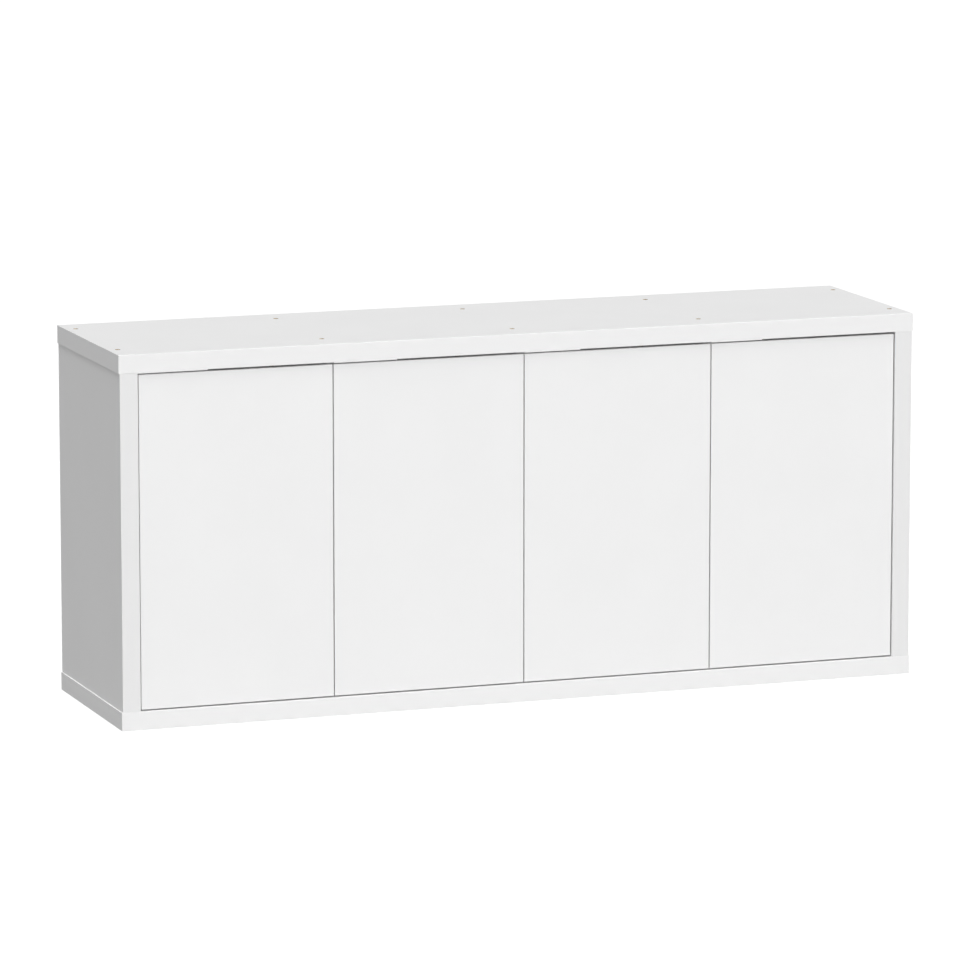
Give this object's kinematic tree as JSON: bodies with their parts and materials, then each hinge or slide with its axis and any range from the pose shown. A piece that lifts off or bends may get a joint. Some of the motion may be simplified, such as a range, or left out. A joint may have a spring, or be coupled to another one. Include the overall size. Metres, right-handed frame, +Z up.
{
  "type": "aquarium stand cabinet",
  "caption": "Long low white aquarium stand: thick top and base boards, upright sides, flush handle-less doors on concealed hinges with push latches, shelves and hose cut-outs inside.",
  "frame": {"origin": "middle of the footprint, on the floor", "axes": "+X along the width to the right as seen from the front, +Y to the back, +Z up"},
  "size_m": [1.6, 0.41, 0.71],
  "materials": {
    "white_board": "white melamine-coated chipboard, fine satin",
    "white_banding": "white ABS edge banding with rounded arrises",
    "back_board": "white-lacquered hardboard",
    "beech": "turned beech dowel",
    "zinc_steel": "bright zinc plating",
    "nickel_steel": "nickel-plated pressed steel",
    "latch_plastic": "pale grey moulded plastic",
    "plunger_plastic": "grey acetal"
  },
  "bodies": {
    "cabinet": {"top_panel": "white_board", "top_edging": "white_banding", "bottom_panel": "white_board", "bottom_edging": "white_banding", "left_side_panel": "white_board", "right_side_panel": "white_board", "side_edging": "white_banding", "partition_1": "white_board", "partition_2": "white_board", "partition_3": "white_board", "partition_edging": "white_banding", "back_panel_left": "back_board", "back_panel_right": "back_board", "back_panel_screws": "zinc_steel", "shelf_left": "white_board", "shelf_right": "white_board", "shelf_edging": "white_banding", "shelf_pins": "zinc_steel", "dowels": "beech", "top_screws": "zinc_steel", "bottom_screws": "zinc_steel", "hinge_arms": "nickel_steel", "hinge_plates": "nickel_steel", "hinge_arm_screws": "zinc_steel", "hinge_plate_screws": "zinc_steel", "latch_housings": "latch_plastic", "latch_screws": "zinc_steel"},
    "door_1_leaf": {"door_1": "white_board", "door_1_edging": "white_banding", "door_1_hinge_cups": "nickel_steel", "door_1_cup_screws": "zinc_steel", "door_1_strike_plate": "nickel_steel"},
    "door_1_arm_links": {"door_1_outer_links": "nickel_steel"},
    "door_1_cup_links": {"door_1_inner_links": "nickel_steel"},
    "door_1_plunger": {"door_1_latch_plunger": "plunger_plastic"},
    "door_2_leaf": {"door_2": "white_board", "door_2_edging": "white_banding", "door_2_hinge_cups": "nickel_steel", "door_2_cup_screws": "zinc_steel", "door_2_strike_plate": "nickel_steel"},
    "door_2_arm_links": {"door_2_outer_links": "nickel_steel"},
    "door_2_cup_links": {"door_2_inner_links": "nickel_steel"},
    "door_2_plunger": {"door_2_latch_plunger": "plunger_plastic"},
    "door_3_leaf": {"door_3": "white_board", "door_3_edging": "white_banding", "door_3_hinge_cups": "nickel_steel", "door_3_cup_screws": "zinc_steel", "door_3_strike_plate": "nickel_steel"},
    "door_3_arm_links": {"door_3_outer_links": "nickel_steel"},
    "door_3_cup_links": {"door_3_inner_links": "nickel_steel"},
    "door_3_plunger": {"door_3_latch_plunger": "plunger_plastic"},
    "door_4_leaf": {"door_4": "white_board", "door_4_edging": "white_banding", "door_4_hinge_cups": "nickel_steel", "door_4_cup_screws": "zinc_steel", "door_4_strike_plate": "nickel_steel"},
    "door_4_arm_links": {"door_4_outer_links": "nickel_steel"},
    "door_4_cup_links": {"door_4_inner_links": "nickel_steel"},
    "door_4_plunger": {"door_4_latch_plunger": "plunger_plastic"}
  },
  "joints": [
    {"name": "door_1_swing", "type": "hinge", "parent": "cabinet", "child": "door_1_leaf", "pos_m": [-0.7598, -0.206, 0.355], "axis": [0, 0, -1], "range_deg": [0, 100]},
    {"name": "door_1_arm_link_turn", "type": "hinge", "parent": "cabinet", "child": "door_1_arm_links", "pos_m": [-0.7288, -0.19204, 0.355], "axis": [0, 0, 1], "range_deg": [0, 73.4]},
    {"name": "door_1_cup_link_turn", "type": "hinge", "parent": "door_1_leaf", "child": "door_1_cup_links", "pos_m": [-0.7543, -0.1865, 0.355], "axis": [0, 0, 1], "range_deg": [0, 173.4]},
    {"name": "door_1_plunger_push", "type": "slide", "parent": "cabinet", "child": "door_1_plunger", "axis": [0, 1, 0], "range_m": [0, 0.0025], "stiffness_N_per_m": 250},
    {"name": "door_2_swing", "type": "hinge", "parent": "cabinet", "child": "door_2_leaf", "pos_m": [-0.0021, -0.206, 0.355], "axis": [0, 0, 1], "range_deg": [0, 90]},
    {"name": "door_2_arm_link_turn", "type": "hinge", "parent": "cabinet", "child": "door_2_arm_links", "pos_m": [-0.0331, -0.19204, 0.355], "axis": [0, 0, -1], "range_deg": [0, 66.1]},
    {"name": "door_2_cup_link_turn", "type": "hinge", "parent": "door_2_leaf", "child": "door_2_cup_links", "pos_m": [-0.0076, -0.1865, 0.355], "axis": [0, 0, -1], "range_deg": [0, 156.1]},
    {"name": "door_2_plunger_push", "type": "slide", "parent": "cabinet", "child": "door_2_plunger", "axis": [0, 1, 0], "range_m": [0, 0.0025], "stiffness_N_per_m": 250},
    {"name": "door_3_swing", "type": "hinge", "parent": "cabinet", "child": "door_3_leaf", "pos_m": [0.0021, -0.206, 0.355], "axis": [0, 0, -1], "range_deg": [0, 90]},
    {"name": "door_3_arm_link_turn", "type": "hinge", "parent": "cabinet", "child": "door_3_arm_links", "pos_m": [0.0331, -0.19204, 0.355], "axis": [0, 0, 1], "range_deg": [0, 66.1]},
    {"name": "door_3_cup_link_turn", "type": "hinge", "parent": "door_3_leaf", "child": "door_3_cup_links", "pos_m": [0.0076, -0.1865, 0.355], "axis": [0, 0, 1], "range_deg": [0, 156.1]},
    {"name": "door_3_plunger_push", "type": "slide", "parent": "cabinet", "child": "door_3_plunger", "axis": [0, 1, 0], "range_m": [0, 0.0025], "stiffness_N_per_m": 250},
    {"name": "door_4_swing", "type": "hinge", "parent": "cabinet", "child": "door_4_leaf", "pos_m": [0.7598, -0.206, 0.355], "axis": [0, 0, 1], "range_deg": [0, 100]},
    {"name": "door_4_arm_link_turn", "type": "hinge", "parent": "cabinet", "child": "door_4_arm_links", "pos_m": [0.7288, -0.19204, 0.355], "axis": [0, 0, -1], "range_deg": [0, 73.4]},
    {"name": "door_4_cup_link_turn", "type": "hinge", "parent": "door_4_leaf", "child": "door_4_cup_links", "pos_m": [0.7543, -0.1865, 0.355], "axis": [0, 0, -1], "range_deg": [0, 173.4]},
    {"name": "door_4_plunger_push", "type": "slide", "parent": "cabinet", "child": "door_4_plunger", "axis": [0, 1, 0], "range_m": [0, 0.0025], "stiffness_N_per_m": 250}
  ],
  "couplings": [
    {"joint": "door_1_arm_link_turn", "follows": "door_1_swing", "ratio": 0.72996},
    {"joint": "door_1_cup_link_turn", "follows": "door_1_swing", "ratio": 1.73},
    {"joint": "door_2_arm_link_turn", "follows": "door_2_swing", "ratio": 0.72996},
    {"joint": "door_2_cup_link_turn", "follows": "door_2_swing", "ratio": 1.73},
    {"joint": "door_3_arm_link_turn", "follows": "door_3_swing", "ratio": 0.72996},
    {"joint": "door_3_cup_link_turn", "follows": "door_3_swing", "ratio": 1.73},
    {"joint": "door_4_arm_link_turn", "follows": "door_4_swing", "ratio": 0.72996},
    {"joint": "door_4_cup_link_turn", "follows": "door_4_swing", "ratio": 1.73}
  ]
}
